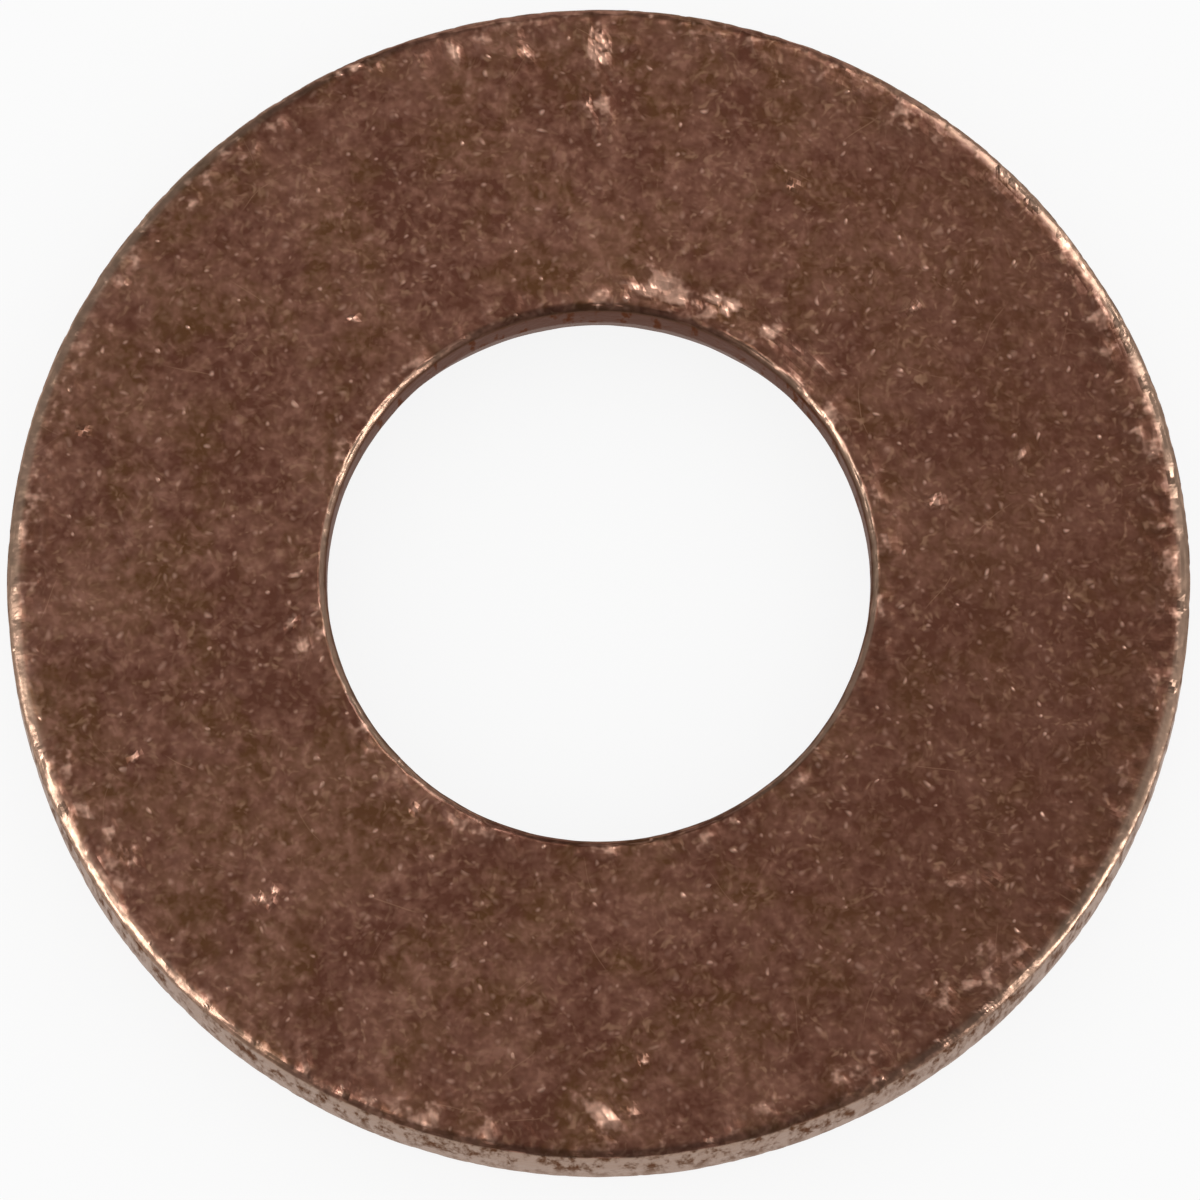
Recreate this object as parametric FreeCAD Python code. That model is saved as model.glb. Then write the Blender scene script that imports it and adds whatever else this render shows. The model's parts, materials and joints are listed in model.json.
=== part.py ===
"""Flat washer: one ring, punched from bronze strip and then tumbled.

The axis is +Z, the origin is at the centre of the bottom bearing face, and the units are millimetres.
The bore is punched from the top and the rim is sheared the other way, so the two walls are opposites:
the bore is rolled over at the top and torn wider at the bottom, and the rim is rolled over at the bottom
and torn narrower at the top.
"""

import FreeCAD, Part

import os

# Driving dimensions
OUTER_DIAMETER = 15.875  # 5/8 in
BORE_DIAMETER = 7.25  # clears a bolt of 1/4 in
THICKNESS = 1.57  # strip of 0.062 in

# Bore wall: a short straight land below the rolled-over top, then a torn flare down to the bottom face
BORE_TOP_ROLL = 0.14
BORE_TEAR_HEIGHT = 0.95
BORE_TEAR_FLARE = 0.20
BORE_BOTTOM_BREAK = 0.05

# Rim wall: rolled over at the bottom, a straight land, then a torn taper up to the top face
RIM_BOTTOM_ROLL = 0.20
RIM_TEAR_HEIGHT = 0.85
RIM_TEAR_TAPER = 0.03
RIM_TOP_BREAK = 0.12

OUTER_RADIUS = OUTER_DIAMETER / 2
BORE_RADIUS = BORE_DIAMETER / 2
BORE_BOTTOM_RADIUS = BORE_RADIUS + BORE_TEAR_FLARE
RIM_TOP_RADIUS = OUTER_RADIUS - RIM_TEAR_TAPER

FULL_TURN = 360
SAME_PLACE = 1e-6


def sharp_ring():
    """The ring with square corners: its section revolved about the bore's axis."""
    section = [
        (BORE_BOTTOM_RADIUS, 0),
        (OUTER_RADIUS, 0),
        (OUTER_RADIUS, RIM_TEAR_HEIGHT),
        (RIM_TOP_RADIUS, THICKNESS),
        (BORE_RADIUS, THICKNESS),
        (BORE_RADIUS, BORE_TEAR_HEIGHT),
    ]
    corners = [FreeCAD.Vector(radius, 0, height) for radius, height in section]
    face = Part.Face(Part.makePolygon(corners + corners[:1]))
    return face.revolve(FreeCAD.Vector(0, 0, 0), FreeCAD.Vector(0, 0, 1), FULL_TURN)


def round_edge(solid, edge_radius, height, roll):
    """Rounds the circular edge of that radius at that height."""
    for edge in solid.Edges:
        is_circle = isinstance(edge.Curve, Part.Circle)
        if not is_circle or abs(edge.Curve.Radius - edge_radius) > SAME_PLACE:
            continue
        if abs(edge.Curve.Center.z - height) < SAME_PLACE:
            return solid.makeFillet(roll, [edge])
    raise ValueError(f"no edge of radius {edge_radius} at height {height}")


def washer_ring():
    """The finished ring, with its four corners rounded by the punch, the die and the tumbling."""
    ring = sharp_ring()
    ring = round_edge(ring, BORE_RADIUS, THICKNESS, BORE_TOP_ROLL)
    ring = round_edge(ring, BORE_BOTTOM_RADIUS, 0, BORE_BOTTOM_BREAK)
    ring = round_edge(ring, OUTER_RADIUS, 0, RIM_BOTTOM_ROLL)
    return round_edge(ring, RIM_TOP_RADIUS, THICKNESS, RIM_TOP_BREAK)


os.makedirs("parts", exist_ok=True)
ring = washer_ring()
ring.exportStep("parts/washer_ring.step")
print(f"washer_ring: valid {ring.isValid()}, solids {len(ring.Solids)}, volume {ring.Volume:.2f} mm3")
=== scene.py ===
"""A flat bronze washer: its detailed mesh, its tumbled bronze, and a plain pale studio around it.

The ring is one closed mesh, swept from a section about the bore's axis. Its dents, nicks, rolled edges
and torn walls are in the mesh. The fine grain is in the material, which also reads where the mesh says
that the metal is worn bright, sheared or pitted.
"""

import itertools
import json
import math
from collections import namedtuple

import bpy
import numpy as np
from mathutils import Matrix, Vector


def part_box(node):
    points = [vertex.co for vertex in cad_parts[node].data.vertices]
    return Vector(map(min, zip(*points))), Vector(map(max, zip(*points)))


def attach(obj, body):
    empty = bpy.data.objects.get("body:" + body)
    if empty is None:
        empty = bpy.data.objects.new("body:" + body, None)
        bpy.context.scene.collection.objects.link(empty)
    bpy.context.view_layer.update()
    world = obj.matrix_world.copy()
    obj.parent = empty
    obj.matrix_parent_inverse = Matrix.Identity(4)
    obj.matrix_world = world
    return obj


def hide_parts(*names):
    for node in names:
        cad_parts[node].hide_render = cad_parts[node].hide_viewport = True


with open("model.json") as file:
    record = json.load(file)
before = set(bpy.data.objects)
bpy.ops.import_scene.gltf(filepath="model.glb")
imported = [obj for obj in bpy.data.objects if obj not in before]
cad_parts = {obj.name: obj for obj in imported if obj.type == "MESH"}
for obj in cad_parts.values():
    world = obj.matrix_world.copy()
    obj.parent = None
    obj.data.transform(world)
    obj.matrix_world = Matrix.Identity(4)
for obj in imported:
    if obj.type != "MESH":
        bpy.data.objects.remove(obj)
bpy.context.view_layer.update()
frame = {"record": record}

NODE = "washer_ring"
MM = 0.001

# Sizes of the ring, in millimetres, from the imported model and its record
RING_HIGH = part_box(NODE)[1]
OUTER_RADIUS = RING_HIGH.x / MM
THICKNESS = RING_HIGH.z / MM
BORE_MOUNT = next(mount for mount in frame["record"]["mounts"] if mount["name"] == "bore")
BORE_RADIUS = BORE_MOUNT["dims"]["r_mm"]

# What punching and tumbling leave on the section, in millimetres
BORE_ROLL = 0.14
BORE_TEAR_HEIGHT = 0.95
BORE_FLARE = 0.20
BORE_BREAK = 0.05
RIM_BOTTOM_ROLL = 0.20
RIM_TEAR_HEIGHT = 0.85
RIM_TAPER = 0.03
RIM_ROLL_WIDTH = 0.20
RIM_ROLL_DROP = 0.11
SPARE = 0.002  # the worn surface lies this far inside the nominal one, so that it stays in the box
WAVES = [(0.006, 1.1), (0.004, 0.38), (0.0015, 0.15)]  # height and width of the tumbled surface's waves

ROLL_SPREAD = 0.10  # how much wider tumbling has left the top roll at the two sides, towards +X and -X
EDGE_WEAR = 0.44  # how far tumbling wears the face bright towards its two edges
EDGE_DINTS = 0.008  # height of the small dints in the rolled edges
WALL_TEARS = 0.008  # depth of the vertical tears in the sheared walls
TEAR_STRETCH = 0.3  # the tears are this much shorter across the wall than up it

MIDDLE_RADIUS = 5.4  # the section starts here, on the top face
SPREAD_BEGINS = 1.2  # the wider roll builds up between these two distances in from the rim
SPREAD_FULL = 0.24
SPREAD_FADES = 0.22  # and it is gone again between these two
SPREAD_ENDS = 0.04
SPREAD_DEPTH = (0.2, 0.1)  # it fades out between these two depths below the top face
SPREAD_WANDER = 0.4
MARK_REACH = (0.16, 0.09)  # the marks fade out between these two depths below the top face
WORN_RIM = (0.75, 0.30)  # the face is worn brighter between these distances in from the rim
WORN_BORE = (0.20, 0.50)  # and between these distances out from the bore
WALL_TILTS = (50, 65, 120, 140)  # a wall's slopes in degrees: where it begins, is full, fades and ends
EDGE_TILTS = (10, 22, 55, 70)
WORN_TILTS = (15, 35)  # the worn bands fade out between these two slopes
BORE_SMOOTHNESS = 0.8  # how much shallower the bore's tears are

# How finely the mesh is cut
FINE_COLUMNS = 1000
COARSE_COLUMNS = 500
FACE_ROW = 0.062
WALL_ROW = 0.14
ROLL_STEPS = 8


# ---------------------------------------------------------------- noise and marks


def lattice_noise(points, cell, seed):
    """Smooth noise from -1 to 1 at each point, with features about one cell wide."""
    side = 64
    table = np.random.default_rng(seed).uniform(-1, 1, (side, side, side))
    scaled = points / cell
    base = np.floor(scaled).astype(int)
    part = scaled - base
    part = part * part * (3 - 2 * part)
    total = np.zeros(len(points))
    for corner in itertools.product((0, 1), repeat=3):
        weight = np.prod(np.where(corner, part, 1 - part), axis=1)
        index = (base + corner) % side
        total += weight * table[index[:, 0], index[:, 1], index[:, 2]]
    return total


def smooth_step(values, low, high):
    """0 below low, 1 above high, and a smooth rise between them."""
    share = np.clip((values - low) / (high - low), 0, 1)
    return share * share * (3 - 2 * share)


# ---------------------------------------------------------------- the ring's section


def arc(centre, radii, start, end, steps):
    """Points on an elliptical arc in the section, from start to end in degrees, without its first point."""
    angles = np.radians(np.linspace(start, end, steps + 1)[1:])
    return [(centre[0] + radii[0] * math.cos(a), centre[1] + radii[1] * math.sin(a)) for a in angles]


def run(start, end, row):
    """Points along a straight stretch of the section, about a row apart, without its first point."""
    length = math.dist(start, end)
    steps = max(1, round(length / row))
    shares = np.linspace(0, 1, steps + 1)[1:]
    return [(start[0] + (end[0] - start[0]) * s, start[1] + (end[1] - start[1]) * s) for s in shares]


def section():
    """The section as rows of (radius, height, columns), once round from the middle of the top face."""
    rim_top = OUTER_RADIUS - RIM_TAPER
    middle = (MIDDLE_RADIUS, THICKNESS)
    face_edge = (rim_top - RIM_ROLL_WIDTH, THICKNESS)
    rim_start = (rim_top, THICKNESS - RIM_ROLL_DROP)
    land_top = (OUTER_RADIUS, RIM_TEAR_HEIGHT)
    land_bottom = (OUTER_RADIUS, RIM_BOTTOM_ROLL)
    bottom_edge = (OUTER_RADIUS - RIM_BOTTOM_ROLL, 0)
    bore_bottom = BORE_RADIUS + BORE_FLARE
    bottom_inner = (bore_bottom + BORE_BREAK, 0)
    flare_start = (bore_bottom, BORE_BREAK)
    tear_start = (BORE_RADIUS, BORE_TEAR_HEIGHT)
    roll_start = (BORE_RADIUS, THICKNESS - BORE_ROLL)
    face_inner = (BORE_RADIUS + BORE_ROLL, THICKNESS)

    fine = run(middle, face_edge, FACE_ROW)
    fine += arc((face_edge[0], rim_start[1]), (RIM_ROLL_WIDTH, RIM_ROLL_DROP), 90, 0, ROLL_STEPS)
    fine += run(rim_start, land_top, WALL_ROW)
    fine += run(land_top, land_bottom, WALL_ROW)
    coarse = arc((bottom_edge[0], land_bottom[1]), (RIM_BOTTOM_ROLL,) * 2, 0, -90, ROLL_STEPS // 2)
    coarse += run(bottom_edge, bottom_inner, 5 * FACE_ROW)
    coarse += arc((bottom_inner[0], flare_start[1]), (BORE_BREAK,) * 2, 270, 180, 2)
    coarse += run(flare_start, tear_start, WALL_ROW / 2)
    coarse += run(tear_start, roll_start, WALL_ROW / 2)
    coarse += arc((face_inner[0], roll_start[1]), (BORE_ROLL,) * 2, 180, 90, ROLL_STEPS)
    coarse += run(face_inner, middle, FACE_ROW)[:-1]
    rows = [(r, z, FINE_COLUMNS) for r, z in [middle] + fine]
    return rows + [(r, z, COARSE_COLUMNS) for r, z in coarse]


def section_normals(rows):
    """The outward direction of the section at each row, from its neighbours."""
    places = np.array([(r, z) for r, z, _ in rows])
    along = np.roll(places, -1, axis=0) - np.roll(places, 1, axis=0)
    outward = np.column_stack([-along[:, 1], along[:, 0]])
    return outward / np.linalg.norm(outward, axis=1, keepdims=True)


# ---------------------------------------------------------------- the ring's mesh


Patch = namedtuple("Patch", "azimuth share slant reach breadth count size depth wear")
Mark = namedtuple("Mark", "x y length width angle depth wear")

# Where knocks have dented and scuffed the top face and its edges, as patches of small marks. Each patch has
# its azimuth from +X, its place as a share of the way from the bore to the rim, how far its long way slants
# from the circle's own direction, its half length and half breadth, how many marks it holds, their usual
# half length, how deep they are, and how far they wear the metal bright. Angles are in degrees and lengths
# in millimetres.
ON_RIM = 0.97
ON_BORE = 0.02
PATCHES = [
    Patch(90, 0.80, 90, 0.5, 0.1, 8, 0.15, 0.014, 1.0),
    Patch(90, 0.65, 90, 0.3, 0.2, 4, 0.25, 0.008, 0.7),
    Patch(105, 0.90, -75, 0.1, 0.0, 2, 0.20, 0.018, 1.0),
    Patch(95, 0.85, 60, 0.1, 0.05, 1, 0.30, 0.020, 0.0),
    Patch(130, 0.70, 0, 0.3, 0.1, 2, 0.20, 0.010, 0.4),
    Patch(80, 0.10, 0, 0.2, 0.1, 4, 0.20, 0.016, 0.95),
    Patch(70, 0.10, 0, 0.5, 0.1, 6, 0.20, 0.014, 0.95),
    Patch(60, 0.10, 0, 0.5, 0.1, 4, 0.20, 0.012, 0.85),
    Patch(70, 0.10, 0, 1.0, 0.2, 5, 0.30, 0.008, 0.6),
    Patch(50, 0.10, 0, 0.5, 0.1, 3, 0.20, 0.020, 0.4),
    Patch(180, 0.10, 0, 0.1, 0.05, 1, 0.20, 0.008, 0.6),
    Patch(195, 0.10, 0, 0.5, 0.0, 4, 0.15, 0.010, 0.8),
    Patch(225, 0.60, 40, 0.1, 0.1, 3, 0.10, 0.012, 0.9),
    Patch(210, 0.85, 0, 0.4, 0.1, 3, 0.20, 0.008, 0.6),
    Patch(270, 0.85, -45, 0.1, 0.0, 2, 0.30, 0.016, 1.0),
    Patch(275, 0.85, 0, 0.4, 0.1, 4, 0.10, 0.010, 0.6),
    Patch(310, 0.85, 0, 0.6, 0.2, 5, 0.20, 0.014, 0.6),
    Patch(320, 0.70, -90, 0.4, 0.3, 3, 0.20, 0.004, 0.4),
    Patch(35, ON_RIM, 0, 0.4, 0.0, 2, 0.60, 0.014, 0.8),
    Patch(40, ON_RIM, 0, 1.0, 0.05, 5, 0.10, 0.012, 0.9),
    Patch(25, ON_RIM, 0, 0.5, 0.05, 3, 0.10, 0.016, 0.9),
    Patch(330, ON_RIM, 0, 0.5, 0.0, 2, 0.40, 0.0, 0.5),
    Patch(310, ON_RIM, 0, 0.6, 0.0, 2, 0.10, 0.030, 1.0),
    Patch(215, ON_RIM, 0, 0.6, 0.0, 3, 0.40, 0.0, 0.5),
    Patch(40, ON_BORE, 0, 0.5, 0.05, 4, 0.20, 0.010, 0.8),
    Patch(135, ON_BORE, 0, 0.2, 0.0, 1, 0.25, 0.008, 0.6),
]
PATCH_SEED = 70
MARK_SWAY = 25  # how far a mark turns from its patch's long way, in degrees
NARROWEST_MARK = 0.06  # half width
WIDEST_MARK = 0.15
STRAY_SIZE = 0.09  # half length of the marks that belong to no patch
STRAY_NICKS = 14  # small nicks, anywhere on the rim
NICK_SEED = 60
STRAY_SCUFFS = 12  # small bright scuffs, anywhere on the top face between these shares
SCUFF_SHARES = (0.07, 0.93)
SCUFF_SEED = 200


def patch_marks(patch, seed):
    """The marks of one patch, scattered about its middle along the circle."""
    draws = np.random.default_rng(seed)
    slant = math.radians(patch.slant)
    middle = BORE_RADIUS + patch.share * (OUTER_RADIUS - BORE_RADIUS)
    marks = []
    for _ in range(patch.count):
        along, across = draws.uniform(-1, 1, 2) * (patch.reach, patch.breadth)
        round_circle = along * math.cos(slant) - across * math.sin(slant)
        inward = along * math.sin(slant) + across * math.cos(slant)
        turn = math.radians(patch.azimuth) + round_circle / middle
        radius = middle - inward
        length = patch.size * draws.uniform(0.6, 1.4)
        width = float(np.clip(length * draws.uniform(0.3, 0.6), NARROWEST_MARK, WIDEST_MARK))
        angle = math.degrees(turn) + 90 + patch.slant + draws.normal(0, MARK_SWAY * (patch.breadth > 0))
        wear = patch.wear * draws.uniform(0.7, 1.0)
        x, y = radius * math.cos(turn), radius * math.sin(turn)
        marks.append(Mark(x, y, length, width, angle, patch.depth, wear))
    return marks


def all_marks():
    """Every mark on the top face and its edges."""
    marks = []
    for number, patch in enumerate(PATCHES):
        marks += patch_marks(patch, PATCH_SEED + number)
    draws = np.random.default_rng(NICK_SEED)
    for number, azimuth in enumerate(draws.uniform(0, 360, STRAY_NICKS)):
        nick = Patch(azimuth, ON_RIM, 0, 0.0, 0.0, 1, STRAY_SIZE, 0.012, 0.8)
        marks += patch_marks(nick, NICK_SEED + number)
    draws = np.random.default_rng(SCUFF_SEED)
    for number in range(STRAY_SCUFFS):
        azimuth, slant = draws.uniform(0, 360, 2)
        scuff = Patch(azimuth, draws.uniform(*SCUFF_SHARES), slant, 0.0, 0.0, 1, STRAY_SIZE, 0.008, 0.9)
        marks += patch_marks(scuff, SCUFF_SEED + number)
    return marks


def joined_rows(first, second, columns_first, columns_second):
    """Faces between two neighbouring rows, given where their vertices start and how many each has."""
    if columns_first == columns_second:
        step = np.arange(columns_first)
        ahead = (step + 1) % columns_first
        return np.column_stack([first + step, second + step, second + ahead, first + ahead]).tolist()
    fine, coarse = (first, second) if columns_first > columns_second else (second, first)
    count = min(columns_first, columns_second)
    faces = []
    for j in range(count):
        left, middle, right = fine + 2 * j, fine + 2 * j + 1, fine + (2 * j + 2) % (2 * count)
        near, far = coarse + j, coarse + (j + 1) % count
        triangles = [(left, near, middle), (middle, far, right), (middle, near, far)]
        faces += triangles if columns_first > columns_second else [t[::-1] for t in triangles]
    return faces


def swept(rows):
    """Every vertex's place, the section's outward direction there, and its radius."""
    places, outward, radial = [], [], []
    for (radius, height, columns), (across, up) in zip(rows, section_normals(rows)):
        turn = 2 * math.pi * np.arange(columns) / columns
        circle = np.column_stack([np.cos(turn), np.sin(turn)])
        places.append(np.column_stack([radius * circle, np.full(columns, height)]))
        outward.append(np.column_stack([across * circle, np.full(columns, up)]))
        radial.append(np.full(columns, radius))
    return np.vstack(places), np.vstack(outward), np.concatenate(radial)


def ring_faces(rows):
    """The faces between each row and the next, and between the last row and the first."""
    starts = np.cumsum([0] + [columns for _, _, columns in rows])
    faces = []
    for i in range(len(rows)):
        following = (i + 1) % len(rows)
        faces += joined_rows(starts[i], starts[following], rows[i][2], rows[following][2])
    return faces


def widen_roll(places, radial):
    """Draws the top roll inwards towards the washer's two sides, as tumbling has."""
    spread = smooth_step(radial, OUTER_RADIUS - SPREAD_BEGINS, OUTER_RADIUS - SPREAD_FULL)
    spread *= 1 - smooth_step(radial, OUTER_RADIUS - SPREAD_FADES, OUTER_RADIUS - SPREAD_ENDS)
    spread *= smooth_step(places[:, 2], THICKNESS - SPREAD_DEPTH[0], THICKNESS - SPREAD_DEPTH[1])
    sideways = np.abs(places[:, 0] / radial) ** 1.5
    spread *= sideways * (1 + SPREAD_WANDER * lattice_noise(places, 0.9, 41))
    places[:, :2] *= (1 - ROLL_SPREAD * spread / radial)[:, None]


def press_marks(places):
    """How deep the marks are at each vertex, and how bright they have worn it."""
    depth, wear = np.full(len(places), SPARE), np.zeros(len(places))
    top = smooth_step(places[:, 2], THICKNESS - MARK_REACH[0], THICKNESS - MARK_REACH[1])
    for mark in all_marks():
        along = math.radians(mark.angle)
        dx, dy = places[:, 0] - mark.x, places[:, 1] - mark.y
        u = (dx * math.cos(along) + dy * math.sin(along)) / mark.length
        v = (dy * math.cos(along) - dx * math.sin(along)) / mark.width
        shape = np.exp(-(u * u + v * v)) * top
        depth += mark.depth * shape
        wear = np.maximum(wear, mark.wear * shape)
    return depth, wear


def sloped(tilt, begins, full, fades, ends):
    """1 where the surface slopes between full and fades, in degrees from level, and 0 well outside that."""
    return smooth_step(tilt, begins, full) * (1 - smooth_step(tilt, fades, ends))


def worn_bands(places, radial, tilt):
    """How bright tumbling has worn the face in patches beside its two edges."""
    rubbed = smooth_step(radial, OUTER_RADIUS - WORN_RIM[0], OUTER_RADIUS - WORN_RIM[1])
    by_bore = 1 - smooth_step(radial, BORE_RADIUS + WORN_BORE[0], BORE_RADIUS + WORN_BORE[1])
    rubbed = np.maximum(rubbed, by_bore)
    patchy = smooth_step(lattice_noise(places, 0.45, 11) + 0.6 * lattice_noise(places, 0.16, 12), -0.5, 0.9)
    return EDGE_WEAR * rubbed * patchy * (1 - smooth_step(tilt, *WORN_TILTS))


def roughened(places, depth, edge, wall, bore):
    """The depth with the tumbled waves, the edges' dints and the walls' tears added."""
    for seed, (height, cell) in enumerate(WAVES):
        depth += height * (1 + lattice_noise(places, cell, seed))
    depth += EDGE_DINTS * edge * (1 + lattice_noise(places, 0.13, 51))
    upright = places * np.array([1, 1, TEAR_STRETCH])
    tears = smooth_step(lattice_noise(upright, 0.09, 31), 0.0, 0.8)
    return depth + WALL_TEARS * wall * (1 - BORE_SMOOTHNESS * bore) * tears


def build_ring():
    """The washer's mesh object, with its worn, sheared and pitted places as attributes."""
    rows = section()
    places, outward, radial = swept(rows)
    widen_roll(places, radial)
    depth, wear = press_marks(places)
    tilt = np.degrees(np.arccos(np.clip(outward[:, 2], -1, 1)))
    wall = sloped(tilt, *WALL_TILTS)
    edge = sloped(tilt, *EDGE_TILTS)
    bore = (radial < (BORE_RADIUS + OUTER_RADIUS) / 2).astype(float)
    wear = np.maximum(wear, worn_bands(places, radial, tilt))
    places = places - outward * roughened(places, depth, edge, wall, bore)[:, None]

    mesh = bpy.data.meshes.new("tumbled_ring")
    mesh.from_pydata((places * MM).tolist(), [], ring_faces(rows))
    mesh.polygons.foreach_set("use_smooth", [True] * len(mesh.polygons))
    for name, values in (("wear", wear), ("edge", edge), ("wall", wall), ("bore", bore)):
        attribute = mesh.attributes.new(name, "FLOAT", "POINT")
        attribute.data.foreach_set("value", values.astype(np.float32))
    mesh.update()
    ring = bpy.data.objects.new("tumbled_ring", mesh)
    bpy.context.scene.collection.objects.link(ring)
    return ring


# ---------------------------------------------------------------- materials


class Nodes:
    """Adds joined nodes to a material or a world."""

    def __init__(self, tree):
        self.tree = tree
        tree.nodes.clear()

    def add(self, kind, inputs=None, **settings):
        """One new node, with its settings, and its inputs given as values or as other nodes' outputs."""
        node = self.tree.nodes.new(kind)
        for name, value in settings.items():
            setattr(node, name, value)
        for socket, value in (inputs or {}).items():
            if isinstance(value, bpy.types.NodeSocket):
                self.tree.links.new(value, node.inputs[socket])
            else:
                node.inputs[socket].default_value = value
        return node

    def math(self, operation, *values, clamp=False):
        """The output of a Math node on two or three values or sockets."""
        node = self.add("ShaderNodeMath", dict(enumerate(values)), operation=operation, use_clamp=clamp)
        return node.outputs[0]

    def noise(self, place, scale, detail=2.0, roughness=0.5):
        """The value of a noise texture with that many features a millimetre."""
        inputs = {"Vector": place, "Scale": scale, "Detail": detail, "Roughness": roughness}
        return self.add("ShaderNodeTexNoise", inputs).outputs["Fac"]

    def spread(self, value, low, high, new_low=0.0, new_high=1.0):
        """A value from low to high, spread smoothly to a new range."""
        inputs = {"Value": value, 1: low, 2: high, 3: new_low, 4: new_high}
        return self.add("ShaderNodeMapRange", inputs, interpolation_type="SMOOTHSTEP").outputs[0]

    def times(self, first, second):
        """Two values multiplied."""
        return self.math("MULTIPLY", first, second)

    def mix(self, factor, first, second):
        """Two colours mixed."""
        inputs = {0: factor, 6: first, 7: second}
        return self.add("ShaderNodeMix", inputs, data_type="RGBA").outputs[2]

    def vector(self, operation, inputs):
        """The output of a Vector Math node."""
        return self.add("ShaderNodeVectorMath", inputs, operation=operation).outputs[0]

    def specks(self, place, scale, size, rarity):
        """Scattered round specks, one to a cell, few of them bright: the higher the rarity, the fewer."""
        inputs = {"Vector": place, "Scale": scale, "Randomness": 1.0}
        cells = self.add("ShaderNodeTexVoronoi", inputs, voronoi_dimensions="2D")
        chance = self.add("ShaderNodeSeparateColor", {0: cells.outputs["Color"]}).outputs[0]
        shape = self.spread(cells.outputs["Distance"], 0.0, size, 1.0, 0.0)
        return self.math("MULTIPLY", shape, self.math("POWER", chance, rarity))

    def flecks(self, place, scale, thickness, share):
        """Short curved strokes that run every way, fainter and rarer as the share falls."""
        lines = self.math("ABSOLUTE", self.math("SUBTRACT", self.noise(place, scale, 1.0), 0.5))
        lines = self.spread(lines, 0.0, thickness, 1.0, 0.0)
        patches = self.noise(place, 2.1 * scale, 1.0)
        return self.math("MULTIPLY", lines, self.spread(patches, 0.72 - share, 0.88 - share))

    def bend(self, place, scale, reach):
        """The place, moved about that far by smooth noise, so that what is drawn there is bent."""
        inputs = {"Vector": place, "Scale": scale, "Detail": 1.0}
        shift = self.add("ShaderNodeTexNoise", inputs).outputs["Color"]
        shift = self.vector("SUBTRACT", {0: shift, 1: (0.5, 0.5, 0.5)})
        shift = self.vector("SCALE", {0: shift, "Scale": 4 * reach})
        return self.vector("ADD", {0: place, 1: shift})

    def scratches(self, place, scale, length, width, rarity):
        """Scratches that run every way, one to a cell, of that half length and half width."""
        inputs = {"Vector": place, "Scale": scale, "Randomness": 1.0}
        cells = self.add("ShaderNodeTexVoronoi", inputs, voronoi_dimensions="2D")
        chance = self.add("ShaderNodeSeparateColor", {0: cells.outputs["Color"]}).outputs
        away = self.vector("SUBTRACT", {0: place, 1: cells.outputs["Position"]})
        turn = {"Vector": away, "Angle": self.math("MULTIPLY", chance[1], math.pi)}
        turned = self.add("ShaderNodeVectorRotate", turn, rotation_type="Z_AXIS").outputs[0]
        sides = self.add("ShaderNodeSeparateXYZ", {0: turned}).outputs
        along = self.spread(self.math("ABSOLUTE", sides["X"]), 0.4 * length, length, 1.0, 0.0)
        across = self.spread(self.math("ABSOLUTE", sides["Y"]), 0.2 * width, width, 1.0, 0.0)
        shape = self.math("MULTIPLY", along, across)
        return self.math("MULTIPLY", shape, self.math("POWER", chance[0], rarity))

    def attribute(self, name):
        """The mesh's own attribute of that name."""
        return self.add("ShaderNodeAttribute", attribute_name=name).outputs["Fac"]


# Painted shade: this darker brown is mixed into the face towards +X, standing in for the light falling off on
# that side.
PAINTED_SHADE_BROWN = (0.134, 0.049, 0.028, 1)
PURPLE_BROWN = (0.156, 0.055, 0.032, 1)
OLIVE_BROWN = (0.152, 0.062, 0.024, 1)
RUBBED_BROWN = (0.352, 0.164, 0.110, 1)
# Bare metal in the torn places; in the bright dots this pale colour is also painted glints.
BARE_AND_GLINT_BRONZE = (1.0, 0.60, 0.44, 1)
SHEARED_BRONZE = (0.37, 0.25, 0.18, 1)
PIT_BROWN = (0.115, 0.063, 0.041, 1)
BORE_BROWN = (0.105, 0.050, 0.030, 1)
WORN_BRONZE = (0.60, 0.32, 0.225, 1)
SCRATCHED_BRONZE = (0.58, 0.33, 0.20, 1)
EDGE_BRONZE = (0.60, 0.42, 0.30, 1)
EDGE_TINT = (0.50, 0.34, 0.27, 1)

# How fine each layer of the surface is, in features a millimetre
DRIFT_SCALE = 0.8
TONE_SCALE = 0.9
CLUSTER_SCALE = 1.5
FLECK_SCALE = 3.4
MOTTLE_SCALE = 4.4
PIT_SCALE = 5.4
GRAIN_SCALE = 8.4

# How rough the metal is, and how much smoother its edges, its bright dots and its worn places are
ROUGHNESS = 0.46
EDGE_POLISH = 0.13
DOT_POLISH = 0.16
WEAR_POLISH = 0.08

# The thin clear skin of toned metal, and how much of it the pits, the bore and the wear take away
SKIN = 0.45
SKIN_ROUGHNESS = 0.25
PIT_LOSS = 0.42
BORE_LOSS = 0.26
WEAR_LOSS = 0.35

# Heights of the fine relief, in millimetres
MOTTLE_RELIEF = 0.011
DOT_RELIEF = 0.006
CRUMPLE_RELIEF = 0.10


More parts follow.
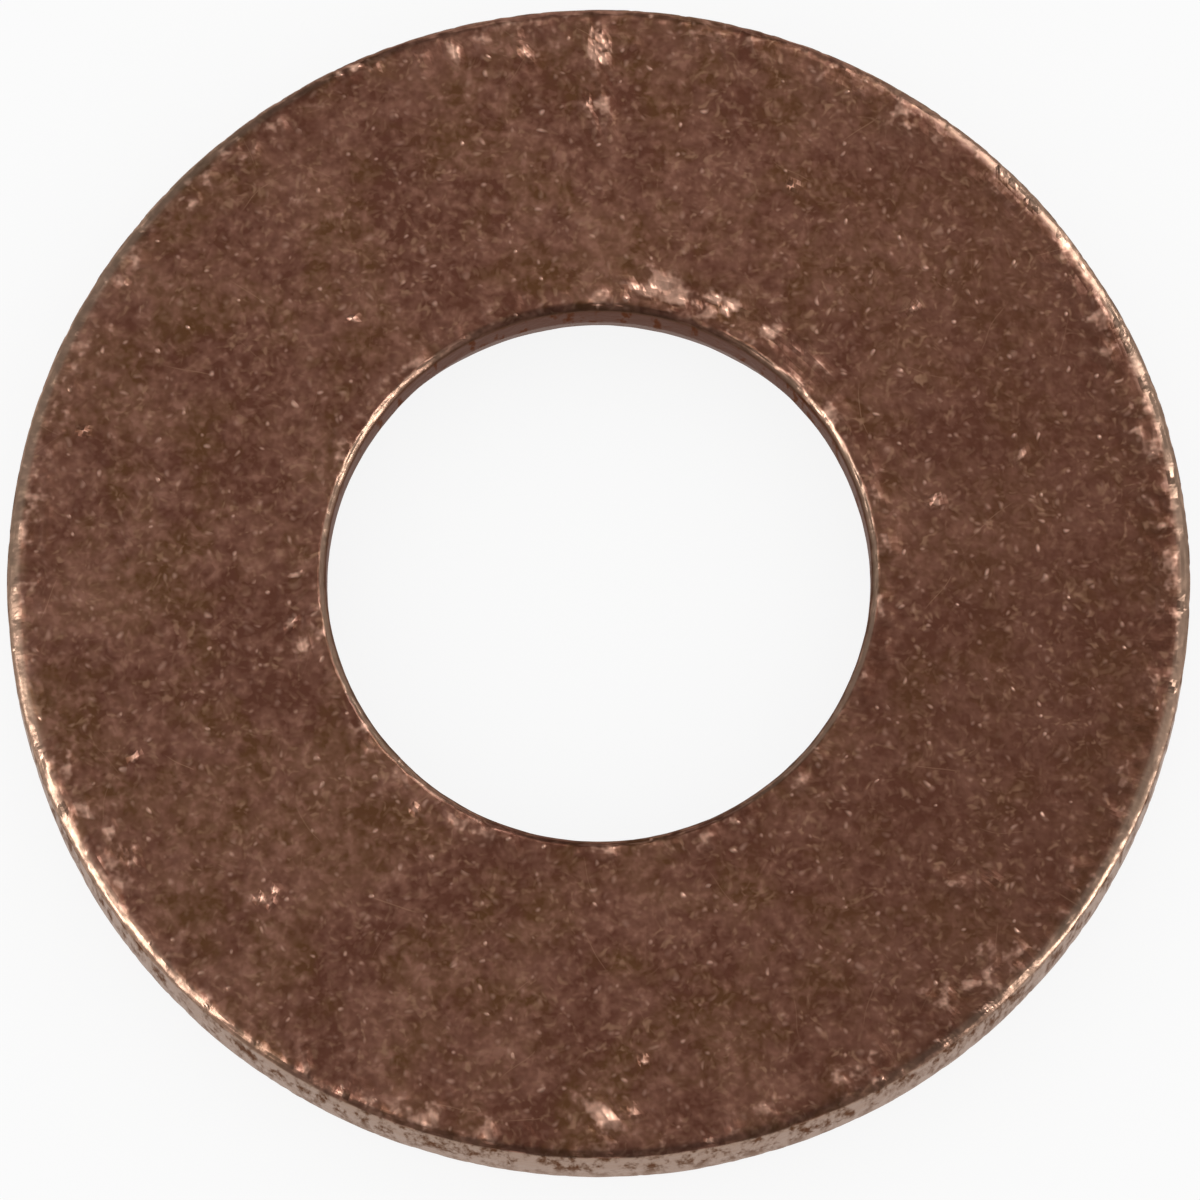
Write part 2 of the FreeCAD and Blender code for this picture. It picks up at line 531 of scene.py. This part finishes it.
def toned_brown_with_painted_shade(nodes, place, across, mottle, wear):
    """The brown of the toning: two tones in clouds, rubbed lighter in a fine mottle, and darkened towards +X
    with painted shade, where the light falls off.
    """
    tone = nodes.spread(nodes.noise(place, TONE_SCALE, 3.0, 0.7), 0.42, 0.60)
    brown = nodes.mix(tone, PURPLE_BROWN, OLIVE_BROWN)
    flecks = nodes.flecks(place, FLECK_SCALE, 0.15, 0.24)
    drift = nodes.spread(nodes.noise(place, DRIFT_SCALE, 4.0, 0.8), 0.3, 0.7, -0.28, 0.36)
    rubbed = nodes.math("ADD", nodes.spread(mottle, 0.31, 0.95), nodes.times(flecks, 0.38))
    rubbed = nodes.math("ADD", rubbed, drift)
    rubbed = nodes.math("ADD", rubbed, nodes.times(wear, 0.35), clamp=True)
    brown = nodes.mix(rubbed, brown, RUBBED_BROWN)
    # Painted shade: darkens the face towards +X, standing in for the light falling off on that side.
    return nodes.mix(nodes.spread(across, 0.0, 6.5, 0.0, 0.56), brown, PAINTED_SHADE_BROWN)


def scratched(nodes, place, bent, brown):
    """The brown with short and long scratches and a clustered bright grain."""
    short = nodes.scratches(bent, 4.6, 0.09, 0.036, 1.6)
    long = nodes.scratches(nodes.bend(place, 0.9, 0.12), 1.1, 0.42, 0.012, 4.0)
    clusters = nodes.spread(nodes.noise(place, CLUSTER_SCALE, 2.0), 0.36, 0.64, 0.35, 1.0)
    grain = nodes.times(nodes.spread(nodes.noise(bent, GRAIN_SCALE, 1.0, 0.6), 0.52, 0.78), clusters)
    strokes = nodes.math("MAXIMUM", nodes.times(short, 0.32), nodes.times(long, 0.7))
    strokes = nodes.math("MAXIMUM", strokes, grain)
    return nodes.mix(nodes.times(strokes, 0.45), brown, SCRATCHED_BRONZE)


def bare_dots_and_painted_glints(nodes, bent):
    """Small bright dots of bare metal, many faint and a few strong; their pale colour is partly painted
    glints, standing in for the sparkle of small facets.
    """
    fine = nodes.times(nodes.specks(bent, 5.2, 0.28, 3.2), 0.38)
    return nodes.math("MAXIMUM", fine, nodes.specks(bent, 2.7, 0.12, 2.6))


def worn_face(nodes, bent, brown, mottle, dots, wear):
    """The face's colour: the brown, worn through to bronze, and bare in the dots and the torn places; the
    dots' pale colour is partly painted glints.
    """
    torn = nodes.spread(nodes.math("ADD", mottle, nodes.times(wear, 0.58)), 0.68, 1.02)
    torn = nodes.times(torn, nodes.spread(nodes.noise(bent, 7.0, 1.0), 0.40, 0.60, 0.40, 1.0))
    # Painted glints: the dots' pale colour stands in for sparkles, beside the bare metal of the torn places.
    bright = nodes.math("MAXIMUM", torn, nodes.times(dots, 0.75), clamp=True)
    worn = nodes.spread(nodes.math("ADD", wear, mottle), 0.80, 1.22, 0.0, 0.95)
    return nodes.mix(bright, nodes.mix(worn, brown, WORN_BRONZE), BARE_AND_GLINT_BRONZE)


def polished_flanks(nodes, sides, edge, face):
    """The face's colour with the rolled edges polished where they face along X."""
    reach = nodes.math("ABSOLUTE", sides["X"])
    flank = nodes.math("DIVIDE", reach, nodes.math("ADD", reach, nodes.math("ABSOLUTE", sides["Y"])))
    flank = nodes.times(edge, nodes.spread(flank, 0.25, 0.60, 0.0, 0.5))
    return nodes.mix(flank, face, EDGE_BRONZE)


def wall_pits(nodes, place, height):
    """Upright dark pits in the sheared walls, more of them higher up, where the metal has torn."""
    upright = nodes.vector("MULTIPLY", {0: place, 1: (1, 1, TEAR_STRETCH)})
    pits = nodes.spread(nodes.noise(upright, PIT_SCALE, 3.0, 0.7), 0.43, 0.66)
    return nodes.times(pits, nodes.spread(height, 0.1, 1.0, 0.4, 1.0))


def fine_relief(nodes, place, mottle, dots, wear):
    """The surface direction with the mottle, the dots and the crumpled scuffs in it."""
    relief = nodes.math("ADD", nodes.times(mottle, MOTTLE_RELIEF), nodes.times(dots, DOT_RELIEF))
    crumple = nodes.times(nodes.noise(place, 3.2, 1.0), nodes.times(wear, CRUMPLE_RELIEF))
    relief = nodes.math("ADD", relief, crumple)
    return nodes.add("ShaderNodeBump", {"Strength": 1.0, "Distance": MM, "Height": relief}).outputs[0]


def metal_roughness(nodes, edge, dots, wear):
    """The metal's roughness."""
    smooth = nodes.math("MAXIMUM", nodes.times(edge, EDGE_POLISH), nodes.times(dots, DOT_POLISH))
    smooth = nodes.math("MAXIMUM", smooth, nodes.times(wear, WEAR_POLISH))
    return nodes.math("SUBTRACT", ROUGHNESS, smooth)


def clear_skin(nodes, wall, pits, bore, wear):
    """How much clear skin is left on the metal."""
    lost = nodes.math("MAXIMUM", nodes.times(pits, PIT_LOSS), nodes.times(bore, BORE_LOSS))
    lost = nodes.math("ADD", nodes.times(wall, lost), nodes.times(wear, WEAR_LOSS))
    return nodes.math("SUBTRACT", SKIN, lost, clamp=True)


def tumbled_bronze():
    """Dark brown toned bronze with a fine bright grain, and lighter where it is worn or sheared."""
    material = bpy.data.materials.new("tumbled_bronze")
    material.use_nodes = True
    nodes = Nodes(material.node_tree)
    coordinates = nodes.add("ShaderNodeTexCoord").outputs["Object"]
    place = nodes.vector("SCALE", {0: coordinates, "Scale": 1 / MM})
    sides = nodes.add("ShaderNodeSeparateXYZ", {0: place}).outputs
    wear, wall, bore, edge = [nodes.attribute(name) for name in ("wear", "wall", "bore", "edge")]
    bent = nodes.bend(place, 2.6, 0.07)
    mottle = nodes.noise(place, MOTTLE_SCALE, 2.0, 0.68)
    dots = bare_dots_and_painted_glints(nodes, bent)
    pits = wall_pits(nodes, place, sides["Z"])

    brown = toned_brown_with_painted_shade(nodes, place, sides["X"], mottle, wear)
    brown = scratched(nodes, place, bent, brown)
    face = worn_face(nodes, bent, brown, mottle, dots, wear)
    face = polished_flanks(nodes, sides, edge, face)
    sheared = nodes.mix(bore, nodes.mix(pits, SHEARED_BRONZE, PIT_BROWN), BORE_BROWN)
    relief = fine_relief(nodes, place, mottle, dots, wear)
    inputs = {
        "Base Color": nodes.mix(wall, face, sheared),
        "Metallic": 1.0,
        "Roughness": metal_roughness(nodes, edge, dots, wear),
        "Normal": relief,
        "Specular Tint": EDGE_TINT,
        "Coat Weight": clear_skin(nodes, wall, pits, bore, wear),
        "Coat Roughness": SKIN_ROUGHNESS,
        "Coat Normal": relief,
    }
    shader = nodes.add("ShaderNodeBsdfPrincipled", inputs)
    nodes.add("ShaderNodeOutputMaterial", {"Surface": shader.outputs[0]})
    return material


FLOOR_GLOW = 0.87  # the floor is a light table, so shadows on it stay faint
FLOOR_WHITE = 0.10
FLOOR_HALF = 2.0  # half its side, in metres


def pale_floor_material():
    """Matt opal plastic, lit from behind."""
    material = bpy.data.materials.new("pale_light_table")
    material.use_nodes = True
    nodes = Nodes(material.node_tree)
    inputs = {
        "Base Color": (FLOOR_WHITE, FLOOR_WHITE, FLOOR_WHITE, 1),
        "Roughness": 0.9,
        "Specular IOR Level": 0.0,
        "Emission Color": (1, 1, 1, 1),
        "Emission Strength": FLOOR_GLOW,
    }
    shader = nodes.add("ShaderNodeBsdfPrincipled", inputs)
    nodes.add("ShaderNodeOutputMaterial", {"Surface": shader.outputs[0]})
    return material


# ---------------------------------------------------------------- studio


CAMERA_DISTANCE = 100.0  # in millimetres, like the two aims
CAMERA_TILT = math.radians(13.8)  # from straight down
CAMERA_LENS = 225.0  # focal length on Blender's own sensor width
AIM_RIGHT = 0.016
AIM_DOWN = 0.372
SURROUND_GLOW = 0.97  # what the camera and the floor see of the surround
OVERHEAD_GLOW = 0.13  # what the metal mirrors of it overhead, and towards the sides
SIDE_GLOW = (0.14, 0.32)


def add_camera():
    """The camera above the washer, leaning a little towards its front."""
    top = Vector((0, 0, THICKNESS))
    back = Vector((0, -math.sin(CAMERA_TILT), math.cos(CAMERA_TILT)))
    down = Vector((0, -math.cos(CAMERA_TILT), -math.sin(CAMERA_TILT)))
    place = top + CAMERA_DISTANCE * back
    aim = top + AIM_DOWN * down + Vector((AIM_RIGHT, 0, 0))
    data = bpy.data.cameras.new("camera")
    data.lens = CAMERA_LENS
    data.clip_start = 0.005
    camera = bpy.data.objects.new("camera", data)
    camera.location = place * MM
    camera.rotation_euler = (aim - place).to_track_quat("-Z", "Y").to_euler()
    bpy.context.scene.collection.objects.link(camera)
    bpy.context.scene.camera = camera


def add_light(name, azimuth, elevation, distance, size, radiance):
    """A soft rectangular light aimed at the washer. Azimuth is from +X, in degrees; lengths are in metres."""
    a, e = math.radians(azimuth), math.radians(elevation)
    way = Vector((math.cos(a) * math.cos(e), math.sin(a) * math.cos(e), math.sin(e)))
    data = bpy.data.lights.new(name, "AREA")
    data.shape = "RECTANGLE"
    data.size, data.size_y = size
    data.energy = radiance * math.pi * size[0] * size[1]
    light = bpy.data.objects.new(name, data)
    light.location = way * distance
    light.rotation_euler = (-way).to_track_quat("-Z", "Y").to_euler()
    light.visible_diffuse = False  # the floor is lit by the surround alone, so that shadows stay faint
    bpy.context.scene.collection.objects.link(light)


def add_floor():
    """The pale floor under the washer."""
    half = FLOOR_HALF
    corners = [(-half, -half, 0), (half, -half, 0), (half, half, 0), (-half, half, 0)]
    mesh = bpy.data.meshes.new("floor")
    mesh.from_pydata(corners, [], [(0, 1, 2, 3)])
    mesh.materials.append(pale_floor_material())
    floor = bpy.data.objects.new("floor", mesh)
    bpy.context.scene.collection.objects.link(floor)


def add_lights():
    """Five soft lights round the washer."""
    add_light("right_back_softbox", 52, 42, 0.3, (0.12, 0.16), 5.0)
    add_light("right_softbox", 10, 42, 0.3, (0.22, 0.10), 0.4)
    add_light("right_front_softbox", -22, 20, 0.3, (0.09, 0.10), 10.0)
    add_light("upper_left_softbox", 150, 66, 0.4, (0.12, 0.12), 1.2)
    add_light("left_softbox", 198, 42, 0.3, (0.16, 0.10), 8.0)


def add_surround():
    """The plain surround: bright to look at, and dimmer where the metal mirrors it."""
    world = bpy.data.worlds.new("surround")
    world.use_nodes = True
    bpy.context.scene.world = world
    nodes = Nodes(world.node_tree)
    path = nodes.add("ShaderNodeLightPath").outputs
    looking = nodes.add("ShaderNodeTexCoord").outputs["Generated"]
    way = nodes.add("ShaderNodeSeparateXYZ", {0: looking}).outputs
    side = nodes.spread(nodes.math("ABSOLUTE", way["X"]), 0.15, 0.75, *SIDE_GLOW)
    lift = nodes.spread(way["Z"], 0.45, 0.95)
    dim = nodes.mix(lift, side, (OVERHEAD_GLOW, OVERHEAD_GLOW, OVERHEAD_GLOW, 1))
    pale = (SURROUND_GLOW, SURROUND_GLOW, SURROUND_GLOW, 1)
    shown = nodes.mix(path["Is Glossy Ray"], pale, dim)
    background = nodes.add("ShaderNodeBackground", {"Color": shown})
    nodes.add("ShaderNodeOutputWorld", {"Surface": background.outputs[0]})
    bpy.context.scene.view_settings.view_transform = "Standard"


add_camera()
add_floor()
add_lights()
add_surround()
ring = build_ring()
ring.data.materials.append(tumbled_bronze())
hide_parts(NODE)
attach(ring, "root")
